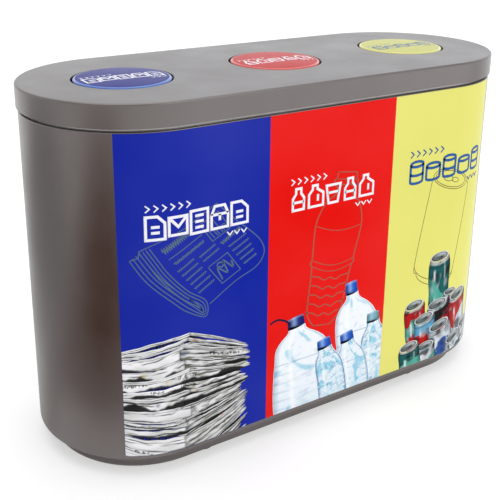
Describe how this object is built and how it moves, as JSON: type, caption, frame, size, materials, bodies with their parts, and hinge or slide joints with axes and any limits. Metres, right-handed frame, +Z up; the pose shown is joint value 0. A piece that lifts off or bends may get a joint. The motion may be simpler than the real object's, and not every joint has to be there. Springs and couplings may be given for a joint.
{
  "type": "litter bin",
  "caption": "Free-standing oval recycling bin in painted sheet steel, with round swing flaps in a rear-hinged lid over round inner liners.",
  "frame": {"origin": "centre of the footprint, on the floor", "axes": "+X along the length, -Y is the front with the printed panels, +Z up"},
  "size_m": [1.006, 0.4115, 0.6848],
  "materials": {
    "paint": "satin powder coat with fine metallic flake",
    "galvanised": "hot-dip galvanised sheet",
    "zinc": "bright zinc plated",
    "rubber": "matte black rubber",
    "nylon": "natural nylon",
    "vinyl_blue": "gloss printed vinyl",
    "vinyl_red": "gloss printed vinyl",
    "vinyl_yellow": "gloss printed vinyl",
    "flap_blue": "gloss moulded plastic",
    "flap_red": "gloss moulded plastic",
    "flap_yellow": "gloss moulded plastic"
  },
  "bodies": {
    "body": {"body_shell": "paint", "neck_ring": "paint", "rim_seal": "rubber", "base_pan": "galvanised", "plinth": "paint", "foot_pads": "rubber", "foot_screws": "zinc", "partition_left": "galvanised", "partition_right": "galvanised", "liner_locator_left": "galvanised", "liner_locator_center": "galvanised", "liner_locator_right": "galvanised", "liner_left": "galvanised", "liner_center": "galvanised", "liner_right": "galvanised", "front_panel_left": "vinyl_blue", "front_panel_center": "vinyl_red", "front_panel_right": "vinyl_yellow", "body_hinge_leaf_left": "zinc", "body_hinge_leaf_right": "zinc", "hinge_pin_left": "zinc", "hinge_pin_right": "zinc", "body_hinge_rivets": "zinc"},
    "lid": {"lid_cover": "paint", "lid_channel_left": "paint", "lid_channel_right": "paint", "lid_hinge_leaf_left": "zinc", "lid_hinge_leaf_right": "zinc", "lid_hinge_rivets": "zinc", "chute_left": "paint", "chute_center": "paint", "chute_right": "paint", "axle_bushes_left": "nylon", "axle_bushes_center": "nylon", "axle_bushes_right": "nylon"},
    "left_flap": {"flap_left": "flap_blue", "flap_label_left": "vinyl_blue", "flap_axle_left": "zinc", "flap_brackets_left": "galvanised", "flap_weight_left": "zinc", "axle_clips_left": "zinc"},
    "center_flap": {"flap_center": "flap_red", "flap_label_center": "vinyl_red", "flap_axle_center": "zinc", "flap_brackets_center": "galvanised", "flap_weight_center": "zinc", "axle_clips_center": "zinc"},
    "right_flap": {"flap_right": "flap_yellow", "flap_label_right": "vinyl_yellow", "flap_axle_right": "zinc", "flap_brackets_right": "galvanised", "flap_weight_right": "zinc", "axle_clips_right": "zinc"}
  },
  "joints": [
    {"name": "lid_hinge", "type": "hinge", "parent": "body", "child": "lid", "pos_m": [0, 0.206, 0.63825], "axis": [-1, 0, 0], "range_deg": [0, 95]},
    {"name": "left_flap_pivot", "type": "hinge", "parent": "lid", "child": "left_flap", "pos_m": [-0.32, 0, 0.67], "axis": [1, 0, 0], "range_deg": [-75, 75]},
    {"name": "center_flap_pivot", "type": "hinge", "parent": "lid", "child": "center_flap", "pos_m": [0, 0, 0.67], "axis": [1, 0, 0], "range_deg": [-75, 75]},
    {"name": "right_flap_pivot", "type": "hinge", "parent": "lid", "child": "right_flap", "pos_m": [0.32, 0, 0.67], "axis": [1, 0, 0], "range_deg": [-75, 75]}
  ]
}
